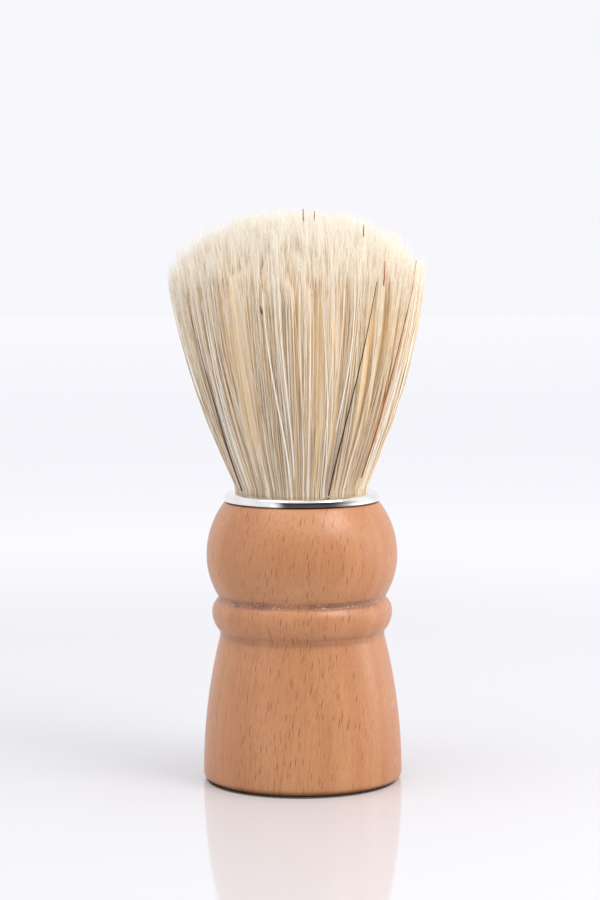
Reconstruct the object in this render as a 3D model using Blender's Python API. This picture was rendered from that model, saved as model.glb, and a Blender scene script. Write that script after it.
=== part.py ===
"""A wood-handled shaving brush: turned beech handle, plated trim ring and a bristle knot set in resin.

Run it with blender --background --python part.py, or from Blender's text editor.
Metres, +Z up. The origin is the middle of the foot, where the brush stands on a table.
The knot is glued into a blind socket in the handle. Its bristles are three solids, one above the
other: the roots, which the resin holds stiff, the belly, which bends, and the tips, which swing.
"""

from math import atan2, cos, hypot, pi, radians, sin, sqrt

import bmesh
import bpy
from mathutils import Vector

MM = 0.001

# Handle. Lengths run along the brush, one below the other from the top face to the foot.
HANDLE_HEIGHT = 52.65 * MM
BULB_UPPER = 10.0 * MM  # top face to the widest place of the bulb
BULB_LOWER = 7.65 * MM  # from there to the groove
GROOVE_WIDTH = 0.6 * MM
BEAD_UPPER = 2.45 * MM
BEAD_LOWER = 3.7 * MM
WAIST_WIDTH = 0.9 * MM
BULB_RADIUS = 18.05 * MM
GROOVE_RADIUS = 15.9 * MM
BEAD_RADIUS = 17.05 * MM
WAIST_RADIUS = 15.55 * MM
FOOT_RADIUS = 18.8 * MM
FOOT_ROUND = 1.4 * MM
TOP_LAND = 1.6 * MM  # wood round the mouth of the socket

# Knot. The socket takes its size from the plug.
KNOT_RADIUS = 12.0 * MM  # the bundle where it leaves the trim ring, and the plug it is cast in
PLUG_HEIGHT = 13.1 * MM
PLUG_WALL = 0.9 * MM
PLUG_FLOOR = 1.3 * MM
PLUG_CHAMFER = 1.0 * MM
PLUG_SINK = 0.3 * MM  # top of the plug below the top face of the handle
GLUE_WALL = 0.4 * MM
GLUE_FLOOR = 0.6 * MM
DRILL_POINT_RADIUS = 1.8 * MM
DRILL_POINT_DEPTH = 1.3 * MM
FIT_GAP = 0.32 * MM  # between pieces that touch or are glued

# Binding round the butts of the bristles.
CORD_THICKNESS = 0.7 * MM
CORD_PITCH = 1.05 * MM
CORD_TURNS = 4
CORD_LIFT = 1.8 * MM  # from the butts to the middle of the first turn

# Trim ring.
RING_OVERHANG = 1.6 * MM  # how far it reaches past the mouth of the socket
RING_BELLY = 0.5 * MM  # from its lower edge up to where it is widest
RING_TUCK = 0.05 * MM  # how far in the lower edge lies
RING_ROUND = 1.19 * MM  # how far in the rounding above reaches
RING_RISE = 1.1 * MM  # how high it climbs
RING_FALL = 0.1 * MM  # from the lip down to the top of the rounding
RING_LIP = 0.45 * MM  # flat at the bore
NECK_DEPTH = 4.3 * MM

# Tuft above the ring.
LOFT = 53.7 * MM
TUFT_RADIUS = 23.75 * MM
DOME_HEIGHT = 12.5 * MM  # from the widest place of the tuft to its crown
FLARE = 0.43  # how fast the tuft spreads where it leaves the ring
ROOTS_HEIGHT = 7.7 * MM
BELLY_HEIGHT = 19.4 * MM
PIVOT_LIFT = 9.7 * MM  # the place in the belly the tuft leans about, above the roots

# Facets.
TURN_STEPS = 48
BULGE_STEPS = 6
FLARE_STEP = 3.3 * MM
CROWN_STEPS = 9
CORD_STEPS = 32
CORD_SIDES = 6

# Worked out from the sizes above.
socketRadius = KNOT_RADIUS + FIT_GAP + GLUE_WALL + FIT_GAP
plugTop = HANDLE_HEIGHT - PLUG_SINK
plugBottom = plugTop - PLUG_HEIGHT
glueBottom = plugBottom - FIT_GAP - GLUE_FLOOR
socketFloor = glueBottom - FIT_GAP
topRadius = socketRadius + TOP_LAND
plugBore = KNOT_RADIUS - PLUG_WALL
coilRadius = plugBore - FIT_GAP - CORD_THICKNESS / 2
buttRadius = coilRadius - CORD_THICKNESS / 2 - FIT_GAP
buttBottom = plugBottom + PLUG_FLOOR + FIT_GAP
coilBottom = buttBottom + CORD_LIFT
throat = coilBottom + CORD_TURNS * CORD_PITCH + CORD_THICKNESS / 2 + FIT_GAP
ringBottom = HANDLE_HEIGHT + FIT_GAP
ringTop = ringBottom + RING_BELLY + RING_RISE + RING_FALL
neckBore = KNOT_RADIUS + FIT_GAP
neckBottom = HANDLE_HEIGHT - NECK_DEPTH
glueTop = neckBottom - FIT_GAP
shoulder = LOFT - DOME_HEIGHT
rootsTop = ringTop + ROOTS_HEIGHT
bellyBottom = rootsTop + FIT_GAP
bellyTop = bellyBottom + BELLY_HEIGHT
tipsBottom = bellyTop + FIT_GAP
crown = ringTop + LOFT
pivotHeight = rootsTop + PIVOT_LIFT


def bulge(widest, end, steps):
    """Points of the arc that leaves the place (radius, height) upright and runs to the end."""
    inward = widest[0] - end[0]
    along = end[1] - widest[1]
    radius = (inward**2 + along**2) / (2 * inward)
    middle = widest[0] - radius
    turn = atan2(along, end[0] - middle)
    angles = [turn * step / steps for step in range(steps + 1)]
    return [(middle + radius * cos(a), widest[1] + radius * sin(a)) for a in angles]


def bundleRadius(height):
    """Radius of the bristle bundle at a height, from the butts to the crown."""
    if height <= throat:
        return buttRadius
    if height <= ringTop:
        share = (height - throat) / (ringTop - throat)
        return buttRadius + (KNOT_RADIUS - buttRadius) * share
    rise = height - ringTop
    if rise <= shoulder:
        curve = (TUFT_RADIUS - KNOT_RADIUS - FLARE * shoulder) / shoulder**2
        return KNOT_RADIUS + FLARE * rise + curve * rise**2
    share = min(1, (rise - shoulder) / DOME_HEIGHT)
    return TUFT_RADIUS * sqrt(1 - share**2)


def bundleSide(bottom, top):
    """Outer points of the bundle between two heights below the shoulder."""
    steps = max(1, round((top - bottom) / FLARE_STEP))
    heights = [bottom + (top - bottom) * step / steps for step in range(steps + 1)]
    return [(bundleRadius(height), height) for height in heights]


def finish(name, colour, roughness, metallic):
    """A plain Principled material."""
    material = bpy.data.materials.new(name)
    material.use_nodes = True
    shader = material.node_tree.nodes["Principled BSDF"]
    shader.inputs["Base Color"].default_value = (*colour, 1)
    shader.inputs["Roughness"].default_value = roughness
    shader.inputs["Metallic"].default_value = metallic
    material.diffuse_color = (*colour, 1)
    return material


def place(name, mesh, material, height=0):
    """Put a mesh in the scene as a piece, with its own origin at a height on the axis."""
    mesh.name = name
    mesh.shade_smooth()
    mesh.set_sharp_from_angle(angle=radians(28))
    mesh.materials.append(material)
    piece = bpy.data.objects.new(name, mesh)
    piece.location = (0, 0, height)
    bpy.context.scene.collection.objects.link(piece)
    return piece


def turned(name, outline, material, height=0):
    """A solid of revolution. The outline runs from the axis under the piece to the axis above it,
    or closes on itself round a piece with a hole through it, with the solid on its left."""
    build = bmesh.new()
    rings = []
    for radius, level in outline:
        if radius < 1e-7:
            rings.append([build.verts.new((0, 0, level - height))])
            continue
        angles = [2 * pi * step / TURN_STEPS for step in range(TURN_STEPS)]
        rings.append([build.verts.new((radius * cos(a), radius * sin(a), level - height)) for a in angles])
    pairs = list(zip(rings, rings[1:]))
    if len(rings[0]) > 1:
        pairs.append((rings[-1], rings[0]))
    for lower, upper in pairs:
        for step in range(TURN_STEPS):
            after = (step + 1) % TURN_STEPS
            corners = [lower[step % len(lower)], lower[after % len(lower)]]
            corners += [upper[after % len(upper)], upper[step % len(upper)]]
            build.faces.new(list(dict.fromkeys(corners)))
    mesh = bpy.data.meshes.new(name)
    build.to_mesh(mesh)
    build.free()
    return place(name, mesh, material, height)


def handleOutline():
    """Skirt, waist, bead, groove and bulb, then the mouth, wall, floor and drill point of the socket."""
    bulbHeight = HANDLE_HEIGHT - BULB_UPPER
    grooveTop = bulbHeight - BULB_LOWER
    grooveBottom = grooveTop - GROOVE_WIDTH
    beadHeight = grooveBottom - BEAD_UPPER
    waistTop = beadHeight - BEAD_LOWER
    waistBottom = waistTop - WAIST_WIDTH
    bead = (BEAD_RADIUS, beadHeight)
    bulb = (BULB_RADIUS, bulbHeight)
    foot = [radians(-90 + 22.5 * step) for step in range(4)]
    side = [(FOOT_RADIUS - FOOT_ROUND * (1 - cos(a)), FOOT_ROUND * (1 + sin(a))) for a in foot]
    side += bulge((FOOT_RADIUS, FOOT_ROUND), (WAIST_RADIUS, waistBottom), 2 * BULGE_STEPS)
    side += list(reversed(bulge(bead, (WAIST_RADIUS, waistTop), BULGE_STEPS)))
    side += bulge(bead, (GROOVE_RADIUS, grooveBottom), BULGE_STEPS)[1:]
    side += list(reversed(bulge(bulb, (GROOVE_RADIUS, grooveTop), BULGE_STEPS)))
    side += bulge(bulb, (topRadius, HANDLE_HEIGHT), BULGE_STEPS)[1:]
    socket = [(socketRadius, HANDLE_HEIGHT), (socketRadius, socketFloor)]
    socket += [(DRILL_POINT_RADIUS, socketFloor), (0, socketFloor - DRILL_POINT_DEPTH)]
    return [(0, 0), *side, *socket]


def glueOutline():
    """A cup that fills the gap under and round the plug, with a nub in the drill point."""
    slope = DRILL_POINT_DEPTH / DRILL_POINT_RADIUS
    nubTip = socketFloor - DRILL_POINT_DEPTH + FIT_GAP * hypot(1, slope)
    nubRadius = (glueBottom - nubTip) / slope
    inner = KNOT_RADIUS + FIT_GAP
    outer = inner + GLUE_WALL
    floor = glueBottom + GLUE_FLOOR
    bowl = [(0, nubTip), (nubRadius, glueBottom), (outer, glueBottom), (outer, glueTop)]
    return [*bowl, (inner, glueTop), (inner, floor), (0, floor)]


def plugOutline():
    """A cup cast round the butts, wide where the binding runs and close to the bristles above it."""
    floor = plugBottom + PLUG_FLOOR
    shell = [(0, plugBottom), (KNOT_RADIUS - PLUG_CHAMFER, plugBottom)]
    shell += [(KNOT_RADIUS, plugBottom + PLUG_CHAMFER), (KNOT_RADIUS, plugTop)]
    shell += [(bundleRadius(plugTop) + FIT_GAP, plugTop), (buttRadius + FIT_GAP, throat)]
    return [*shell, (plugBore, throat), (plugBore, floor), (0, floor)]


def ringOutline():
    """A thin neck that drops into the socket and a domed flange that covers its mouth."""
    neckRadius = neckBore + GLUE_WALL
    rim = (socketRadius + RING_OVERHANG, ringBottom + RING_BELLY)
    under = list(reversed(bulge(rim, (rim[0] - RING_TUCK, ringBottom), BULGE_STEPS)))
    dome = bulge(rim, (rim[0] - RING_ROUND, rim[1] + RING_RISE), 2 * BULGE_STEPS)
    lip = (neckBore + RING_LIP, ringTop)
    flange = [(neckRadius, ringBottom), *under, *dome[1:], lip]
    bore = [(neckBore + RING_LIP / 3, ringTop - RING_LIP / 8), (neckBore, ringTop - RING_LIP)]
    return [(neckBore, neckBottom), (neckRadius, neckBottom), *flange, *bore]


def cord(name, material):
    """A round cord wound up the butts, closed at both ends."""
    build = bmesh.new()
    sides = [2 * pi * side / CORD_SIDES for side in range(CORD_SIDES)]
    count = CORD_TURNS * CORD_STEPS
    rings = []
    for step in range(count + 1):
        angle = 2 * pi * step / CORD_STEPS
        outward = Vector((cos(angle), sin(angle), 0))
        middle = outward * coilRadius + Vector((0, 0, coilBottom + CORD_PITCH * step / CORD_STEPS))
        half = CORD_THICKNESS / 2
        ring = [middle + half * (outward * cos(a) + Vector((0, 0, sin(a)))) for a in sides]
        rings.append([build.verts.new(point) for point in ring])
    for ring, following in zip(rings, rings[1:]):
        for side in range(CORD_SIDES):
            after = (side + 1) % CORD_SIDES
            build.faces.new((ring[side], ring[after], following[after], following[side]))
    build.faces.new(rings[0])
    build.faces.new(rings[-1])
    bmesh.ops.recalc_face_normals(build, faces=build.faces)
    mesh = bpy.data.meshes.new(name)
    build.to_mesh(mesh)
    build.free()
    return place(name, mesh, material)


def main():
    for existing in list(bpy.data.objects):
        bpy.data.objects.remove(existing)

    beech = finish("beech", (0.56, 0.33, 0.18), 0.45, 0)
    nickel = finish("nickel_plate", (0.72, 0.71, 0.69), 0.1, 1)
    glue = finish("glue", (0.72, 0.58, 0.34), 0.4, 0)
    resin = finish("resin", (0.45, 0.3, 0.14), 0.3, 0)
    twine = finish("twine", (0.75, 0.7, 0.6), 0.85, 0)
    rootHair = finish("bristle_root", (0.5, 0.42, 0.31), 0.75, 0)
    bellyHair = finish("bristle_belly", (0.72, 0.64, 0.5), 0.8, 0)
    tipHair = finish("bristle_tip", (0.85, 0.79, 0.68), 0.85, 0)

    turned("handle", handleOutline(), beech)
    turned("socket_glue", glueOutline(), glue)
    turned("resin_plug", plugOutline(), resin)
    turned("trim_ring", ringOutline(), nickel)
    cord("binding_cord", twine)

    buried = [(buttRadius, buttBottom), (buttRadius, throat), (KNOT_RADIUS, ringTop)]
    roots = [(0, buttBottom), *buried, *bundleSide(ringTop, rootsTop)[1:], (0, rootsTop)]
    turned("bristle_roots", roots, rootHair)
    belly = [(0, bellyBottom), *bundleSide(bellyBottom, bellyTop), (0, bellyTop)]
    turned("bristle_belly", belly, bellyHair, pivotHeight)
    arcs = [pi / 2 * step / CROWN_STEPS for step in range(1, CROWN_STEPS)]
    dome = [(TUFT_RADIUS * cos(a), ringTop + shoulder + DOME_HEIGHT * sin(a)) for a in arcs]
    tips = [(0, tipsBottom), *bundleSide(tipsBottom, ringTop + shoulder), *dome, (0, crown)]
    turned("bristle_tips", tips, tipHair, pivotHeight)


main()
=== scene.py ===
from math import atan2, cos, pi, radians, sin, sqrt

import bmesh
import bpy
import numpy as np
from mathutils import Matrix, Vector


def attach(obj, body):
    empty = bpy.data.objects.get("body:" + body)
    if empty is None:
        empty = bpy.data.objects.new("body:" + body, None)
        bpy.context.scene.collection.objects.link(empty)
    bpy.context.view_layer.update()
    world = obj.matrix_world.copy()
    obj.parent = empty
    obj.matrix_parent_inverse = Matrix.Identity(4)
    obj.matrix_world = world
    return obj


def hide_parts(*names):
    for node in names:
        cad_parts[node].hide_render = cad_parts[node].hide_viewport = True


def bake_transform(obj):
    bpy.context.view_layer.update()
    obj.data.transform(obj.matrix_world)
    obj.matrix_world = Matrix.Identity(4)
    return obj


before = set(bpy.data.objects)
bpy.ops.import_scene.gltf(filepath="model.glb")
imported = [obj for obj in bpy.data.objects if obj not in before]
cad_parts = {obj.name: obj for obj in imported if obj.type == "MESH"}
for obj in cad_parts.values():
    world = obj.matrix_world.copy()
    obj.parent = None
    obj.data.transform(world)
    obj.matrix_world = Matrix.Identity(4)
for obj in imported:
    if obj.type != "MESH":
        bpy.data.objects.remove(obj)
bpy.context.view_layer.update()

mm = 0.001
dice = np.random.default_rng(24)


# shader helpers
def paint(red, green, blue):
    # a paint chip's screen colour, 0 to 255, as the light it sends back
    chip = np.array((red, green, blue)) / 255
    light = np.where(chip > 0.04045, ((chip + 0.055) / 1.055) ** 2.4, chip / 12.92)
    return (*light.tolist(), 1)


class Wire:
    # one shader socket, so that masks can be added and multiplied as plain sums
    def __init__(self, tree, socket=None):
        self.tree = tree
        self.socket = socket

    def node(self, kind, sockets=(), output=0, **settings):
        made = self.tree.nodes.new("ShaderNode" + kind)
        for name, value in settings.items():
            setattr(made, name, value)
        for name, value in dict(sockets).items():
            if isinstance(value, Wire):
                self.tree.links.new(value.socket, made.inputs[name])
            else:
                made.inputs[name].default_value = value
        return Wire(self.tree, made.outputs[output])

    def maths(self, operation, first, second=0.0):
        return self.node("Math", {0: first, 1: second}, operation=operation)

    def __add__(self, other):
        return self.maths("ADD", self, other)

    def __sub__(self, other):
        return self.maths("SUBTRACT", self, other)

    def __rsub__(self, other):
        return self.maths("SUBTRACT", other, self)

    def __mul__(self, other):
        return self.maths("MULTIPLY", self, other)

    def __truediv__(self, other):
        return self.maths("DIVIDE", self, other)

    __radd__ = __add__
    __rmul__ = __mul__

    def step(self, low, high):
        # 0 below low, 1 above high, smooth between; low may be the larger
        sockets = {"Value": self, "From Min": low, "From Max": high}
        return self.node("MapRange", sockets, interpolation_type="SMOOTHSTEP")

    def mix(self, first, second):
        # first where this mask is 0, second where it is 1
        return self.node("Mix", {0: self, 6: first, 7: second}, output=2, data_type="RGBA")

    def noise(self, place, scale, detail=2.0, roughness=0.5):
        sockets = {"Vector": place, "Scale": scale, "Detail": detail, "Roughness": roughness}
        return self.node("TexNoise", sockets)

    def stretched(self, place, scale, turn=(0, 0, 0), shift=(0, 0, 0)):
        sockets = {"Vector": place, "Location": shift, "Rotation": turn, "Scale": scale}
        return self.node("Mapping", sockets)


def finish(name):
    # an empty Principled material, the wire that builds in it, and its shader
    material = bpy.data.materials.new(name)
    material.use_nodes = True
    tree = material.node_tree
    return material, Wire(tree), tree.nodes["Principled BSDF"]


def feed(shader, **sockets):
    # plug wires or set numbers; baseColor stands for Base Color
    for name, value in sockets.items():
        label = "".join(" " + letter if letter.isupper() else letter for letter in name).title()
        socket = shader.inputs[label]
        if isinstance(value, Wire):
            value.tree.links.new(value.socket, socket)
        else:
            socket.default_value = value


# turned pieces
def bulge(widest, end, steps):
    # the arc that leaves the place (radius, height) upright and runs to the end
    inward = widest[0] - end[0]
    along = end[1] - widest[1]
    radius = (inward**2 + along**2) / (2 * inward)
    middle = widest[0] - radius
    turn = atan2(along, end[0] - middle)
    angles = [turn * step / steps for step in range(steps + 1)]
    return [(middle + radius * cos(a), widest[1] + radius * sin(a)) for a in angles]


def spun(name, outline, rounds, steps, material):
    # the outline, in mm, is spun about Z; rounds maps an outline point's number to its fillet
    build = bmesh.new()
    points = [build.verts.new((radius * mm, 0, height * mm)) for radius, height in outline]
    pairs = list(zip(points, points[1:]))
    if outline[0][0] > 0:
        pairs.append((points[-1], points[0]))
    for pair in pairs:
        build.edges.new(pair)
    for number, fillet in rounds.items():
        bmesh.ops.bevel(build, geom=[points[number]], offset=fillet * mm, offset_type="OFFSET",
                        segments=4, profile=0.5, affect="VERTICES", material=-1)
    bmesh.ops.spin(build, geom=list(build.verts) + list(build.edges), cent=(0, 0, 0), axis=(0, 0, 1),
                   angle=2 * pi, steps=steps, use_merge=True)
    bmesh.ops.remove_doubles(build, verts=build.verts, dist=1e-7)
    bmesh.ops.recalc_face_normals(build, faces=build.faces)
    return shown(name, build, material)


def mark(mesh, label, values):
    # one number for every vertex, which a material reads by its label
    layer = mesh.attributes.new(label, "FLOAT", "POINT")
    layer.data.foreach_set("value", values.astype(np.float32))


def shown(name, build, material):
    mesh = bpy.data.meshes.new(name)
    build.to_mesh(mesh)
    build.free()
    mesh.shade_smooth()
    mesh.set_sharp_from_angle(angle=radians(40))
    mesh.materials.append(material)
    piece = bpy.data.objects.new(name, mesh)
    bpy.context.scene.collection.objects.link(piece)
    return piece


# handle: beech, sanded and sealed with a thin satin lacquer
handleSizes = {  # mm
    "height": 52.65, "footRadius": 18.8, "footRound": 1.4,
    "waistRadius": 15.55, "waistLow": 27.35, "waistHigh": 28.25,
    "beadRadius": 17.05, "beadHeight": 31.95, "grooveRadius": 15.9, "grooveLow": 34.4, "grooveHigh": 35.0,
    "bulbRadius": 18.05, "bulbHeight": 42.65, "topRadius": 14.64,
    "socketRadius": 13.04, "socketFloor": 38.01, "drillRadius": 1.8, "drillTip": 36.71,
    "steps": 192,
}

beechLook = {
    "pale": paint(200, 141, 95), "deep": paint(184, 121, 76), "fleck": paint(140, 82, 50),
    "rayFace": paint(210, 156, 112), "line": paint(158, 98, 62),
    "rayApart": 0.7 * mm, "rayReach": 16 * mm, "rayTall": 7 * mm,  # spacing across, along and up
    "lean": 6, "lacquer": 0.3, "lacquerRough": 0.28, "relief": 0.05 * mm,
    "grooveShadeAndWax": 34.7 * mm, "waistShade": 27.8 * mm,  # heights where shade is painted darker in soil-like patches, and where wax and dust specks sit
    # the dark colour is painted shade for the groove and the waist, with some soil; the pale one is wax
    "soil": paint(112, 76, 60), "wax": paint(226, 206, 190),
}


def beech():
    material, wire, shader = finish("beech")
    look = beechLook
    place = wire.node("TexCoord", output=3)
    # the blank was sawn a little off the grain, so every figure leans
    grain = wire.stretched(place, (1, 1, 1), (radians(2), radians(-look["lean"]), radians(12)))
    # growth layers run across the blank and wander along it
    wander = wire.noise(wire.stretched(grain, (70, 70, 12)), 1, 2)
    layers = wire.noise(wire.stretched(grain, (60, 330, 6)), 1, 3, 0.55)
    tone = (layers * 0.5 + wander * 0.5).step(0.36, 0.66)
    colour = tone.mix(look["pale"], look["deep"])
    # late wood: thin darker lines
    lines = wire.noise(wire.stretched(grain, (1700, 2100, 60)), 1, 3, 0.65)
    colour = (lines.step(0.45, 0.75) * 0.4).mix(colour, look["line"])
    # pores: very fine short strokes
    pores = wire.noise(wire.stretched(grain, (6200, 6200, 620)), 1, 2)
    poreMask = pores.step(0.50, 0.68)
    colour = (poreMask * 0.35).mix(colour, look["line"])
    # rays: flat plates that run from front to back, cut as dashes in front and as flecks at the sides
    cells = (1 / look["rayApart"], 1 / look["rayReach"], 1 / look["rayTall"])
    bend = wire.noise(wire.stretched(place, (160, 160, 90)), 1, 1) * 0.10
    masks = []
    for shift in ((0, 0, 0), (3.7, 1.9, 5.3), (7.1, 6.4, 2.6), (1.3, 8.2, 9.7)):
        cell = wire.stretched(grain, cells, shift=shift)
        distance = wire.node("TexVoronoi", {"Vector": cell, "Scale": 1.0, "Randomness": 1.0})
        masks.append((distance + bend).step(0.21, 0.13))
    rays = masks[0]
    for mask in masks[1:]:
        rays = wire.maths("MAXIMUM", rays, mask)
    # a ray seen edge on is dark, and seen flat it is pale and silky
    normal = wire.node("TexCoord", output=1)
    facing = wire.node("SeparateXYZ", {"Vector": normal})
    flat = wire.maths("ABSOLUTE", facing).step(0.55, 0.92)
    rayColour = flat.mix(look["fleck"], look["rayFace"])
    colour = (rays * (0.8 - flat * 0.4)).mix(colour, rayColour)
    # painted shade, partly soil: the groove under the bulb is painted darker in patches, and the waist a
    # little; pale wax and dust specks sit in the groove
    height = wire.node("SeparateXYZ", {"Vector": place}, output=2)
    groove = wire.maths("ABSOLUTE", height - look["grooveShadeAndWax"]).step(1.0 * mm, 0.3 * mm)
    waist = wire.maths("ABSOLUTE", height - look["waistShade"]).step(1.1 * mm, 0.3 * mm)
    specks = wire.noise(wire.stretched(place, (1900, 1900, 2600)), 1, 1).step(0.62, 0.7)
    soil = wire.noise(wire.stretched(place, (160, 160, 60)), 1, 2).step(0.35, 0.65)
    # painted shade with some soil, darkest in the groove
    colour = ((groove * 0.7 + waist * 0.3) * (soil * 0.6 + 0.4)).mix(colour, look["soil"])
    colour = (groove * specks * 0.45).mix(colour, look["wax"])
    rough = 0.36 + lines * 0.10 + poreMask * 0.08 - rays * 0.04
    relief = 1.0 - poreMask * 0.5 - rays * 0.25 - lines * 0.12
    bump = wire.node("Bump", {"Height": relief, "Strength": 0.16, "Distance": look["relief"]})
    feed(shader, baseColor=colour, roughness=rough, normal=bump)
    shader.inputs["Coat Weight"].default_value = look["lacquer"]
    shader.inputs["Coat Roughness"].default_value = look["lacquerRough"]
    return material


def handle():
    size = handleSizes
    bead = (size["beadRadius"], size["beadHeight"])
    bulb = (size["bulbRadius"], size["bulbHeight"])
    foot = [radians(-90 + 10 * step) for step in range(9)]
    edge = size["footRound"]
    side = [(size["footRadius"] - edge * (1 - cos(a)), edge * (1 + sin(a))) for a in foot]
    side += bulge((size["footRadius"], edge), (size["waistRadius"], size["waistLow"]), 24)
    waistLow = len(side)
    side += reversed(bulge(bead, (size["waistRadius"], size["waistHigh"]), 12))
    side += bulge(bead, (size["grooveRadius"], size["grooveLow"]), 12)[1:]
    grooveLow = len(side)
    side += reversed(bulge(bulb, (size["grooveRadius"], size["grooveHigh"]), 16))
    side += bulge(bulb, (size["topRadius"], size["height"]), 18)[1:]
    top = len(side)
    socket = [(size["socketRadius"], size["height"]), (size["socketRadius"], size["socketFloor"])]
    socket += [(size["drillRadius"], size["socketFloor"]), (0, size["drillTip"])]
    # the gouge leaves no sharp inner corner, so the waist and groove are rounded
    rounds = {waistLow: 0.25, waistLow + 1: 0.3, grooveLow: 0.2, grooveLow + 1: 0.2, top: 0.25}
    piece = spun("turned_handle", [(0, 0), *side, *socket], rounds, size["steps"], beech())
    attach(piece, "handle")
    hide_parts("handle")


# trim ring: pressed brass, nickel plated and polished
ringSizes = {  # mm
    "bore": 12.32, "neckRadius": 12.72, "neckLow": 48.35, "low": 52.97,
    "tuck": 14.59,  # radius of the lower edge, a hair inside the face above it
    "rimRadius": 14.64, "rimHigh": 53.47, "domeRadius": 13.45, "domeHigh": 54.57,
    "lip": 12.8, "top": 54.67, "steps": 192,
}


def nickel():
    material, wire, shader = finish("nickel_plate")
    place = wire.node("TexCoord", output=3)
    # buffing leaves faint lines round the ring, and handling leaves a few dull places
    smears = wire.noise(wire.stretched(place, (220, 220, 700)), 1, 3)
    rough = 0.09 + smears.step(0.45, 0.8) * 0.08
    tint = smears.step(0.3, 0.8).mix(paint(246, 244, 240), paint(232, 229, 224))
    buff = wire.noise(wire.stretched(place, (60, 60, 9000)), 1, 1)
    bump = wire.node("Bump", {"Height": buff, "Strength": 0.04, "Distance": 0.02 * mm})
    feed(shader, baseColor=tint, roughness=rough, normal=bump, metallic=1.0)
    return material


def trimRing():
    size = ringSizes
    outline = [(size["bore"], size["neckLow"]), (size["neckRadius"], size["neckLow"])]
    rim = (size["rimRadius"], size["rimHigh"])
    outline += [(size["neckRadius"], size["low"]), *reversed(bulge(rim, (size["tuck"], size["low"]), 8))]
    outline += bulge(rim, (size["domeRadius"], size["domeHigh"]), 14)[1:]
    outline += [(size["lip"], size["top"]), (size["bore"], size["top"])]
    rounds = {len(outline) - 2: 0.1, len(outline) - 1: 0.15}
    piece = spun("nickel_ring", outline, rounds, size["steps"], nickel())
    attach(piece, "handle")
    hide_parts("trim_ring")


# bristles
tuftSizes = {  # mm
    "count": 15000, "start": 49.8, "ringTop": 54.67, "knotRadius": 12.1, "startRadius": 11.7,
    "tuftRadius": 23.15, "shoulder": 40.0, "dome": 12.9,  # shoulder above the ring, dome above it
    "flare": 0.43, "lean": -0.95, "trim": -1.9,
    "fine": 0.17, "stout": 0.29, "tipThickness": 0.45,  # tips are a share of the bristle
    "locks": 130, "strands": 2200, "points": 9,
    "outer": 0.73, "tuckedPoints": 4, "tuckDepth": 5,  # further in than outer, only the ends are made
    "coreInset": 0.45, "coreSink": 1.3, "coreShoulder": 3.5, "coreTop": 101.6,
    "coreSteps": 600, "coreLevels": 16,
    "flags": 2, "flagLength": 11.0, "flagSpread": 0.38, "flagThickness": 0.075, "flagPoints": 3,
    "pieceFaces": 190000,  # most triangles in one piece
}

hairLook = {
    "root": paint(218, 198, 170), "body": paint(250, 239, 216), "tip": paint(252, 248, 238),
    # deep is painted shade, the golden look of hairs inside the bundle
    "straw": paint(246, 218, 168), "white": paint(255, 251, 240), "deep": paint(239, 209, 160),
}


def hairFinish(name, colours):
    material, wire, shader = finish(name)
    along = wire.node("Attribute", attribute_name="along", output=2)
    tone = wire.node("Attribute", attribute_name="tone", output=2)
    depth = wire.node("Attribute", attribute_name="depth", output=2)
    colour = along.step(0.05, 0.75).mix(colours["root"], colours["body"])
    colour = (tone.step(0.42, 0.0) * 0.7).mix(colour, colours["straw"])
    # painted shade: the deeper a hair lies in the bundle, the more golden it is, and below the white tone and
    # the pale tips are kept to the outer hairs
    colour = (depth.step(0.03, 0.45) * 0.9).mix(colour, colours["deep"])
    colour = (tone.step(0.55, 0.95) * depth.step(0.5, 0.1) * 0.85).mix(colour, colours["white"])
    colour = (along.step(0.6, 0.95) * depth.step(0.3, 0.05) * 0.85).mix(colour, colours["tip"])
    feed(shader, baseColor=colour, roughness=0.55)
    shader.inputs["Specular IOR Level"].default_value = 0.3
    return material


def bundleRadius(height):
    # radius of the whole bundle at each height, in mm
    size = tuftSizes
    rise = np.clip(height - size["ringTop"], 0, size["shoulder"])
    spread = size["tuftRadius"] - size["knotRadius"]
    curve = (spread - size["flare"] * size["shoulder"]) / size["shoulder"] ** 2
    above = size["knotRadius"] + size["flare"] * rise + curve * rise**2
    share = (height - size["start"]) / (size["ringTop"] - size["start"])
    below = size["startRadius"] + (size["knotRadius"] - size["startRadius"]) * share
    return np.where(height < size["ringTop"], below, above)


def spots(count, power=0.5):
    # points spread evenly over the unit disc, power under 0.5 favouring its rim
    number = np.arange(count) + 0.5
    away = (number / count) ** power
    angle = number * pi * (3 - sqrt(5))
    jitter = dice.normal(0, 0.4 / sqrt(count), (count, 2))
    return np.stack([away * np.cos(angle), away * np.sin(angle)], 1) + jitter


def nearest(points, centres):
    gaps = ((points[:, None, :] - centres[None, :, :]) ** 2).sum(2)
    return gaps.argmin(1)


def smooth(share):
    share = np.clip(share, 0, 1)
    return share * share * (3 - 2 * share)


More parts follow.
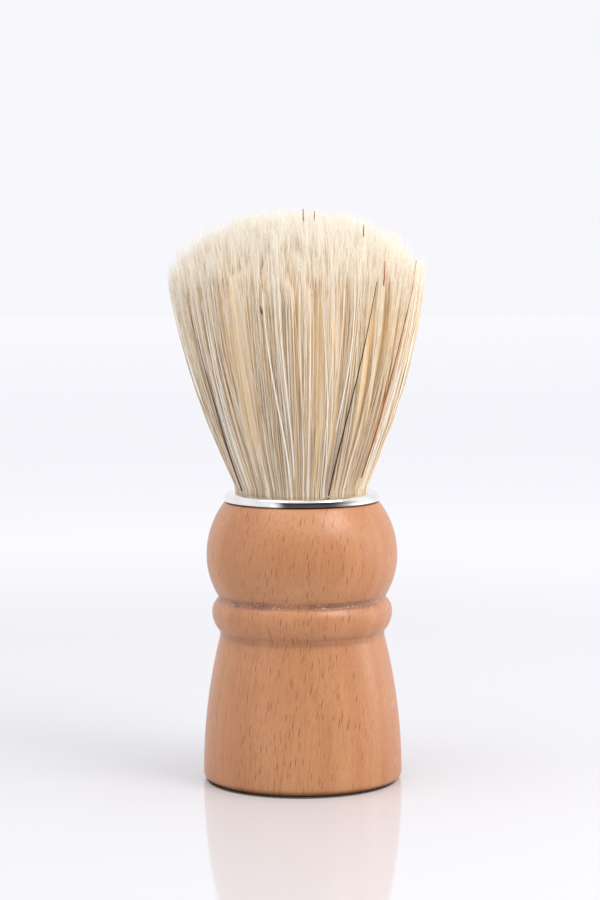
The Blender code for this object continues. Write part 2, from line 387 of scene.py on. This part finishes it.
def strands(name, paths, thickness, marks, material):
    # every path, a row of points, becomes one fine tube; the tubes share one mesh
    count, points = paths.shape[:2]
    thread = bpy.data.curves.new(name, "CURVE")
    thread.dimensions = "3D"
    thread.bevel_depth = 1
    thread.bevel_resolution = 0
    thread.use_fill_caps = True
    places = np.concatenate([paths, np.ones((count, points, 1))], 2)
    for row in range(count):
        spline = thread.splines.new("POLY")
        spline.points.add(points - 1)
        spline.points.foreach_set("co", places[row].ravel())
        spline.points.foreach_set("radius", thickness[row] / 2)
    coil = bpy.data.objects.new(name, thread)
    mesh = bpy.data.meshes.new_from_object(coil)
    bpy.data.objects.remove(coil)
    mesh.name = name
    # the mesh holds every tube's two end caps first, last tube first, and then the tubes in order
    for label, numbers in marks.items():
        caps = numbers[::-1, [-1, 0]]
        mark(mesh, label, np.repeat(np.concatenate([caps.ravel(), numbers.ravel()]), 4))
    mesh.shade_smooth()
    mesh.materials.clear()
    mesh.materials.append(material)
    piece = bpy.data.objects.new(name, mesh)
    bpy.context.scene.collection.objects.link(piece)
    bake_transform(piece)
    return piece


def riseOf(height):
    # share of the loft, from 0 at the ring to 1 at the crown
    size = tuftSizes
    return np.clip((height - size["ringTop"]) / (size["shoulder"] + size["dome"]), 0, 1.2)


def depthOf(paths):
    # how far inside the bundle each point lies, 1 for 5 mm from its side or 20 mm under its crown; the hair
    # finish paints shade by it
    size = tuftSizes
    radius = bundleRadius(paths[..., 2])
    away = np.hypot(paths[..., 0] - size["lean"] * riseOf(paths[..., 2]) ** 1.5, paths[..., 1])
    crown = size["dome"] * np.sqrt(np.clip(1 - (away / size["tuftRadius"]) ** 2, 0, 1))
    under = size["ringTop"] + size["shoulder"] + crown + size["trim"] - paths[..., 2]
    return np.clip(np.minimum(radius - away, under * 0.25) / 5, 0, 1)


def coreHeight(away):
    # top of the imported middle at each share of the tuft's radius
    size = tuftSizes
    waist = size["ringTop"] + size["shoulder"] - size["coreShoulder"]
    return waist + (size["coreTop"] - waist) * np.sqrt(np.clip(1 - away**2, 0, 1))


def packedMiddle(material):
    # the bristles deep inside, pressed together: what shows down the gaps between the outer ones
    size = tuftSizes
    waist = size["ringTop"] + size["shoulder"] - size["coreShoulder"]
    levels = np.linspace(size["start"], waist, size["coreLevels"])
    rise = np.clip((levels - size["ringTop"]) / size["shoulder"], 0, 1)
    radii = bundleRadius(levels) - size["coreInset"] - size["coreSink"] * rise**2
    outline = [(0, size["start"]), *zip(radii.tolist(), levels.tolist())]
    for step in range(1, 9):
        away = cos(step * pi / 16)
        outline.append((radii[-1] * away if step < 8 else 0, float(coreHeight(away))))
    piece = spun("packed_bristles", outline, {}, size["coreSteps"], material)
    mesh = piece.data
    places = np.empty(len(mesh.vertices) * 3, np.float32)
    mesh.vertices.foreach_get("co", places)
    places = places.reshape(-1, 3).astype(float) / mm
    # every column of the surface is a bristle of its own, proud or sunk beside its neighbours
    turn = np.arctan2(places[:, 1], places[:, 0]) / (2 * pi)
    column = np.round(turn * size["coreSteps"]).astype(int) % size["coreSteps"]
    ridge = dice.normal(0, 1, size["coreSteps"])
    beside = np.roll(ridge, 1) + np.roll(ridge, 2) + np.roll(ridge, 3) + np.roll(ridge, 4)
    ridge = 0.2 * ridge + 0.12 * beside
    shade = dice.uniform(0.0, 0.75, size["coreSteps"])
    rise = riseOf(places[:, 2])
    outward = np.maximum(np.hypot(places[:, 0], places[:, 1]), 1e-6)
    proud = 0.85 * ridge[column] * smooth(rise / 0.3) * np.clip(outward / 10, 0, 1)
    places[:, :2] *= (1 + proud / outward)[:, None]
    places[:, 0] += size["lean"] * rise**1.5
    # painted shade: the middle is marked deep, more so lower down and at random column by column, so it turns
    # golden under the outer hairs
    depth = 0.1 + 0.16 * smooth((99 - places[:, 2]) / 14)
    depth += dice.uniform(-0.1, 0.28, size["coreSteps"])[column] * np.clip(outward / 10, 0, 1)
    mark(mesh, "along", rise * 0.9)
    mark(mesh, "tone", shade[column])
    mark(mesh, "depth", depth)
    mesh.vertices.foreach_set("co", (places * mm).astype(np.float32).ravel())
    mesh.update()
    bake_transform(piece)
    return piece


def tuftPaths():
    # where every bristle runs, in mm, with its thickness and tone
    size = tuftSizes
    count = size["count"]
    home = spots(count, 0.45)
    home *= np.minimum(1, 0.995 / np.linalg.norm(home, axis=1))[:, None]
    strandSpots = spots(size["strands"])
    lockSpots = spots(size["locks"])
    strand = nearest(home, strandSpots)
    lock = nearest(strandSpots, lockSpots)[strand]
    away = np.linalg.norm(home, axis=1)
    rim = smooth((away - 0.7) / 0.25)
    end = size["ringTop"] + size["shoulder"] + size["dome"] * (1 - away**2) ** 0.6 + size["trim"]
    end += dice.normal(0, 0.4, size["locks"])[lock] + dice.normal(0, 0.7, count)
    # the outer locks were never trimmed level
    short = dice.normal(0, 1.2, size["locks"])[lock] + dice.normal(0, 1.7, size["strands"])[strand]
    short += dice.normal(0, 1.2, count)
    end += rim * (0.4 - np.abs(short))
    t = np.linspace(0, 1, size["points"])[None, :] ** 0.95
    height = size["start"] + (end[:, None] - size["start"]) * t
    rise = riseOf(height)
    # hairs close up into strands, and strands lean toward their lock; each does it as much as it likes
    strandWill = dice.uniform(0.2, 0.92, size["strands"])[strand]
    lockWill = dice.uniform(0.1, 0.55, size["locks"])[lock] * (0.5 + 0.5 * rim)
    free = dice.random(count) < 0.25
    strandWill = np.where(free, 0, strandWill)
    lockWill = np.where(free, 0.1, lockWill)
    opening = 0.3 * (1 - rim[:, None]) * smooth((rise - 0.78) / 0.3)
    strandPull = strandWill[:, None] * (smooth(rise / 0.35) - opening)
    lockPull = lockWill[:, None] * smooth(rise / 0.95) ** 1.6
    strandAt = strandSpots[strand][:, None, :]
    lockAt = lockSpots[lock][:, None, :]
    disc = strandAt + (lockAt - strandAt) * lockPull[..., None]
    disc = disc + (home[:, None, :] - strandAt) * (1 - strandPull[..., None])
    # every strand leans its own way and every hair has a bow of its own
    drift = dice.normal(0, 0.038, (size["strands"], 1, 2))[strand] * smooth(rise / 0.7)[..., None]
    lean = dice.normal(0, 1, (count, 1, 2)) * np.where(free, 0.1, 0.022)[:, None, None]
    bow = dice.normal(0, 0.012, (count, 1, 2))
    phase = dice.uniform(0, 2 * pi, (count, 1))
    wave = (np.sin(rise * 6 + phase) * smooth(rise / 0.25))[..., None]
    disc = disc + drift + lean * rise[..., None] + bow * wave
    # none of this may push a hair out through the side of the tuft, nor pull an outer one inside
    reach = np.linalg.norm(disc, axis=2, keepdims=True)
    most = 1 + np.where(free, 0.03, 0.01)[:, None, None] * smooth(rise / 0.2)[..., None]
    least = ((away - 0.12) * rim)[:, None, None]
    held = np.where(reach > most, most + (reach - most) * 0.2, reach)
    held = np.where(held < least, least, held)
    disc = disc * held / np.maximum(reach, 1e-6)
    level = disc * bundleRadius(height)[..., None]
    level[..., 0] += size["lean"] * rise**1.5
    paths = np.concatenate([level, height[..., None]], 2)
    stout = dice.random(count) < 0.3
    thick = np.where(stout, size["stout"], size["fine"]) * dice.uniform(0.75, 1.25, count)
    taper = 1 - (1 - size["tipThickness"]) * smooth((t - 0.35) / 0.6)
    taper = taper * (1 - 0.6 * smooth((t - 0.9) / 0.1))
    tone = 0.42 + dice.normal(0, 0.14, count) + dice.normal(0, 0.16, size["strands"])[strand] + 0.25 * stout
    return away, paths, thick[:, None] * taper, np.clip(tone, 0, 1)


def resampled(rows, start, count):
    # each row read again at count even places from its own start, a share of the row, to its end
    last = rows.shape[1] - 1
    at = (start[:, None] + (1 - start[:, None]) * np.linspace(0, 1, count)[None, :]) * last
    low = np.minimum(at.astype(int), last - 1)
    part = at - low
    each = np.arange(len(rows))[:, None]
    if rows.ndim == 3:
        part = part[..., None]
    return rows[each, low] * (1 - part) + rows[each, low + 1] * part


def frayed(away, paths, tone):
    # the split ends: each bristle frays into finer hairs toward its tip
    size = tuftSizes
    count = len(paths)
    share = np.linspace(0, 1, size["flagPoints"])[None, :, None]
    loose = np.where(away > size["outer"], 0.5, 1.0)[:, None]
    hairs = []
    for flag in range(size["flags"]):
        cut = dice.uniform(0.3, 1.2, (count, 1)) * size["flagLength"] * (0.4 + 0.6 * loose)
        tip = paths[:, -1]
        lower = paths[:, -3]
        run = np.linalg.norm(tip - lower, axis=1)[:, None]
        direction = (tip - lower) / run
        start = tip + (lower - tip) * np.clip(cut / run, 0, 1)
        longer = np.clip(dice.normal(0.2, 0.9, (count, 1)), -3, 2.2) * direction
        spread = dice.normal(0, size["flagSpread"], (count, 3)) * (1, 1, 0.2) * loose
        hair = start[:, None, :] + (tip + longer - start)[:, None, :] * share
        hairs.append(hair + spread[:, None, :] * share**1.5)
    return np.concatenate(hairs), np.tile(tone, size["flags"])


def inPieces(label, paths, thickness, along, tone, material):
    # several meshes, innermost hairs first, so that none grows unwieldy
    facesPerHair = 8 * (paths.shape[1] - 1) + 4
    groups = int(np.ceil(len(paths) * facesPerHair / tuftSizes["pieceFaces"]))
    inward = depthOf(paths).mean(1).argsort()[::-1]
    marks = {"along": along, "tone": np.repeat(tone[:, None], paths.shape[1], 1), "depth": depthOf(paths)}
    for number, group in enumerate(np.array_split(inward, groups)):
        chosen = {name: values[group] for name, values in marks.items()}
        strands(f"{label}_{number + 1}", paths[group] * mm, thickness[group] * mm, chosen, material)


def tuft():
    size = tuftSizes
    hair = hairFinish("bristle", hairLook)
    middle = packedMiddle(hair)
    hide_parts("bristle_roots", "bristle_belly", "bristle_tips")
    away, paths, thickness, tone = tuftPaths()
    outer = away > size["outer"]
    inPieces("bristles", paths[outer], thickness[outer], riseOf(paths[outer][..., 2]), tone[outer], hair)
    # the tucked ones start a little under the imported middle's top
    inner = ~outer
    heights = paths[inner][..., 2]
    start = (coreHeight(away[inner]) - size["tuckDepth"] - heights[:, 0]) / (heights[:, -1] - heights[:, 0])
    start = np.clip(start, 0, 0.95)
    short = resampled(paths[inner], start, size["tuckedPoints"])
    thin = resampled(thickness[inner], start, size["tuckedPoints"])
    inPieces("tucked_bristles", short, thin, riseOf(short[..., 2]), tone[inner], hair)
    ends, endTone = frayed(away, paths, tone)
    ones = np.ones((len(ends), 1))
    thin = size["flagThickness"] * np.linspace(1, 0.5, size["flagPoints"])[None, :] * ones
    fade = np.linspace(0.72, 1, size["flagPoints"])[None, :] * ones
    inPieces("split_ends", ends, thin, fade, endTone, hair)
    darkOnes()
    print("bristles", len(paths), "split ends", len(ends))


# a few dark bristles are left among the bleached ones
# degrees round from the front at both ends, share of the bundle's radius, mm up at both ends
darkSizes = {
    "black": (24.5, 37, 1.03, 54.9, 94.3), "russet": (50, 64, 1.05, 58.0, 98.0),
    "brown": (-58, -56, 1.04, 55.4, 84.0), "stray": (-82, -88, 1.02, 86.5, 93.5),
    "speck": (-17, -17.5, 1.0, 88.6, 90.0), "short": (42, 43, 1.01, 93.5, 98.0),
    "tipBrown": (12, 12, 0.3, 101.5, 107.6), "tipTan": (24, 25, 0.36, 102.0, 107.2),
    "tipRed": (48, 48, 0.72, 102.4, 104.6), "rearLong": (158, 149, 1.01, 58.0, 92.0),
    "rearRed": (-131, -140, 1.01, 66.0, 96.0), "rearShort": (-168, -166, 1.01, 84.0, 96.0),
    "sideDark": (104, 99, 1.01, 62.0, 88.0), "sideRed": (-101, -108, 1.015, 72.0, 95.0),
    "points": 8, "thickness": 0.32,
}

darkLook = {  # 0 is the dark colour, 1 the light one
    "black": 0.0, "brown": 0.25, "speck": 0.1, "tipBrown": 0.2, "rearLong": 0.1, "sideDark": 0.2,
    "rearShort": 0.6, "stray": 0.8, "short": 1.0, "russet": 0.95, "rearRed": 0.85, "sideRed": 0.9,
    "tipTan": 1.0, "tipRed": 1.0,
    "dark": paint(42, 38, 38), "light": paint(184, 98, 56),
}


def darkOnes():
    size = darkSizes
    share = np.linspace(0, 1, size["points"])
    names = [name for name, values in size.items() if isinstance(values, tuple)]
    paths = []
    for name in names:
        startTurn, endTurn, reach, low, high = size[name]
        height = low + (high - low) * share
        turn = np.radians(startTurn + (endTurn - startTurn) * share**1.4)
        radius = bundleRadius(height) * reach
        bow = 0.006 * (high - low) * np.sin(share * 5 + low)
        x = radius * np.sin(turn) + tuftSizes["lean"] * riseOf(height) ** 1.5 + bow
        paths.append(np.stack([x, -radius * np.cos(turn), height], 1))
    paths = np.array(paths)
    material, wire, shader = finish("dark_bristle")
    tone = wire.node("Attribute", attribute_name="tone", output=2)
    along = wire.node("Attribute", attribute_name="along", output=2)
    colour = (tone * (0.6 + along * 0.4)).mix(darkLook["dark"], darkLook["light"])
    feed(shader, baseColor=colour, roughness=0.4)
    marks = {
        "along": np.tile(share, (len(names), 1)),
        "tone": np.repeat(np.array([darkLook[name] for name in names])[:, None], size["points"], 1),
    }
    taper = size["thickness"] * (1 - 0.6 * share**2)
    strands("dark_bristles", paths * mm, np.tile(taper * mm, (len(names), 1)), marks, material)


# hidden pieces keep their shape and get a finish: light and dark colour, roughness, grains to the metre
hiddenLook = {
    "socket_glue": (paint(214, 196, 152), paint(190, 164, 112), 0.45, 260),
    "resin_plug": (paint(168, 122, 62), paint(132, 88, 40), 0.22, 140),
    "binding_cord": (paint(228, 218, 198), paint(196, 180, 150), 0.85, 3200),
    "bristle_roots": (paint(205, 184, 156), paint(150, 128, 100), 0.7, 2400),
    "bristle_belly": (paint(226, 204, 170), paint(190, 160, 120), 0.7, 2400),
    "bristle_tips": (paint(240, 228, 208), paint(214, 190, 150), 0.7, 2400),
}


def hidden():
    for name, (light, dark, rough, scale) in hiddenLook.items():
        material, wire, shader = finish(name)
        place = wire.node("TexCoord", output=3)
        grain = wire.noise(wire.stretched(place, (scale, scale, scale * 0.25)), 1, 3)
        bump = wire.node("Bump", {"Height": grain, "Strength": 0.2, "Distance": 0.1 * mm})
        feed(shader, baseColor=grain.step(0.3, 0.7).mix(light, dark), roughness=rough, normal=bump)
        bpy.data.objects[name].material_slots[0].material = material


# floor, light and camera
setSizes = {  # m, the lens and its film in mm, turns in degrees
    "lens": 100, "film": 36, "away": 0.470, "height": 0.1012, "aside": -0.00028,
    "tilt": 4.72, "roll": -0.25, "nearest": 0.01, "floor": 3,
    "contact": (-0.2 * mm, -1.9 * mm, 0), "contactRadius": 18.2 * mm, "contactSoft": 0.8 * mm,
    "cardNear": 0.108, "cardRadius": 0.4, "cardLow": 0.002, "cardHigh": 0.36,
    "cardStart": -46, "cardTurn": 176, "cardSteps": 44,
    "aim": (0, 0, 0.06), "bounces": 10,
}

setLook = {  # colours as light
    "boardNear": (0.64, 0.64, 0.66, 1), "boardFar": (0.84, 0.84, 0.86, 1), "boardEdge": (0.97, 0.97, 0.97, 1),
    "contact": (0.06, 0.045, 0.045, 1), "gloss": 0.06,
    "card": (0.03, 0.028, 0.03, 1), "cardEnd": (0.9, 0.9, 0.92, 1),
    "air": (0.93, 0.93, 0.975, 1),
}

lamps = {  # place and size in m, power in watts, colour
    "key": ((0.38, -0.27, 0.5), 0.3, 2.1, (1.0, 0.97, 0.93)),
    "side": ((0.62, 0.05, 0.2), 0.3, 1.0, (1.0, 0.98, 0.95)),
    "top": ((-0.28, -0.16, 0.75), 0.5, 1.5, (1.0, 0.98, 0.95)),
}


def whiteBoard():
    size = setSizes
    look = setLook
    build = bmesh.new()
    bmesh.ops.create_grid(build, x_segments=4, y_segments=4, size=size["floor"])
    material, wire, shader = finish("white_board")
    place = wire.node("TexCoord", output=3)
    distance = wire.node("VectorMath", {0: place}, output=1, operation="LENGTH")
    far = distance.step(0.17, 0.42)
    colour = far.mix(look["boardNear"], look["boardFar"])
    colour = distance.step(0.45, 2.6).mix(colour, look["boardEdge"])
    # a dark spot under the foot deepens its contact shadow
    foot = wire.node("VectorMath", {0: place, 1: size["contact"]}, output=1, operation="DISTANCE")
    spot = foot.step(size["contactRadius"], size["contactRadius"] - size["contactSoft"]) * 0.88
    feed(shader, baseColor=spot.mix(colour, look["contact"]), roughness=look["gloss"])
    board = shown("floor", build, material)


def blackCard():
    # the card round the front gives the plating its dark band, and fades out toward its ends and top
    size = setSizes
    look = setLook
    build = bmesh.new()
    near = build.verts.new((0, -size["cardNear"], size["cardLow"]))
    low = build.verts.new((0, -size["cardRadius"], size["cardLow"]))
    high = build.verts.new((0, -size["cardRadius"], size["cardHigh"]))
    edges = [build.edges.new((near, low)), build.edges.new((low, high))]
    start = Matrix.Rotation(radians(size["cardStart"]), 3, "Z")
    bmesh.ops.rotate(build, cent=(0, 0, 0), matrix=start, verts=build.verts)
    profile = [near, low, high, *edges]
    bmesh.ops.spin(build, geom=profile, cent=(0, 0, 0), axis=(0, 0, 1), angle=radians(size["cardTurn"]),
                   steps=size["cardSteps"])
    material, wire, shader = finish("black_card")
    place = wire.node("TexCoord", output=3)
    along = wire.node("SeparateXYZ", {"Vector": place}, output=0)
    front = wire.node("SeparateXYZ", {"Vector": place}, output=1)
    up = wire.node("SeparateXYZ", {"Vector": place}, output=2)
    reach = wire.node("VectorMath", {0: place}, output=1, operation="LENGTH")
    fade = wire.maths("MAXIMUM", (along / reach).step(-0.4, -0.7), (front / reach).step(-0.75, 0.25))
    fade = wire.maths("MAXIMUM", fade, up.step(0.24, size["cardHigh"]))
    # only its inner face is there, so the board does not mirror it from below
    behind = wire.node("NewGeometry", output=6)
    colour = fade.mix(look["card"], look["cardEnd"])
    feed(shader, baseColor=colour, roughness=0.9, alpha=1 - behind)
    card = shown("black_card", build, material)
    card.visible_camera = False
    card.visible_shadow = False
    card.visible_diffuse = False


def lights():
    world = bpy.data.worlds.new("studio")
    bpy.context.scene.world = world
    world.use_nodes = True
    background = world.node_tree.nodes["Background"]
    background.inputs["Color"].default_value = setLook["air"]
    background.inputs["Strength"].default_value = 1.0
    target = Vector(setSizes["aim"])
    for name, (place, width, power, colour) in lamps.items():
        lamp = bpy.data.lights.new(name, "AREA")
        lamp.size = width
        lamp.energy = power
        lamp.color = colour
        holder = bpy.data.objects.new(name, lamp)
        holder.location = place
        holder.rotation_euler = (target - Vector(place)).to_track_quat("-Z", "Y").to_euler()
        bpy.context.scene.collection.objects.link(holder)


def lookOn():
    size = setSizes
    camera = bpy.data.cameras.new("camera")
    camera.lens = size["lens"]
    camera.sensor_width = size["film"]
    camera.clip_start = size["nearest"]
    stand = bpy.data.objects.new("camera", camera)
    tilt = Matrix.Rotation(radians(90 - size["tilt"]), 4, "X")
    roll = Matrix.Rotation(radians(size["roll"]), 4, "Z")
    place = Matrix.Translation((size["aside"], -size["away"], size["height"]))
    stand.matrix_world = place @ (tilt @ roll)
    bpy.context.scene.collection.objects.link(stand)
    bpy.context.scene.camera = stand
    bpy.context.scene.view_settings.view_transform = "Standard"
    # pale bristles pass light among themselves many times over
    bpy.context.scene.cycles.diffuse_bounces = size["bounces"]


whiteBoard()
blackCard()
lights()
lookOn()
print("set laid out")
handle()
print("handle turned")
trimRing()
print("ring pressed")
hidden()
print("hidden pieces finished")
tuft()
print("tuft set")
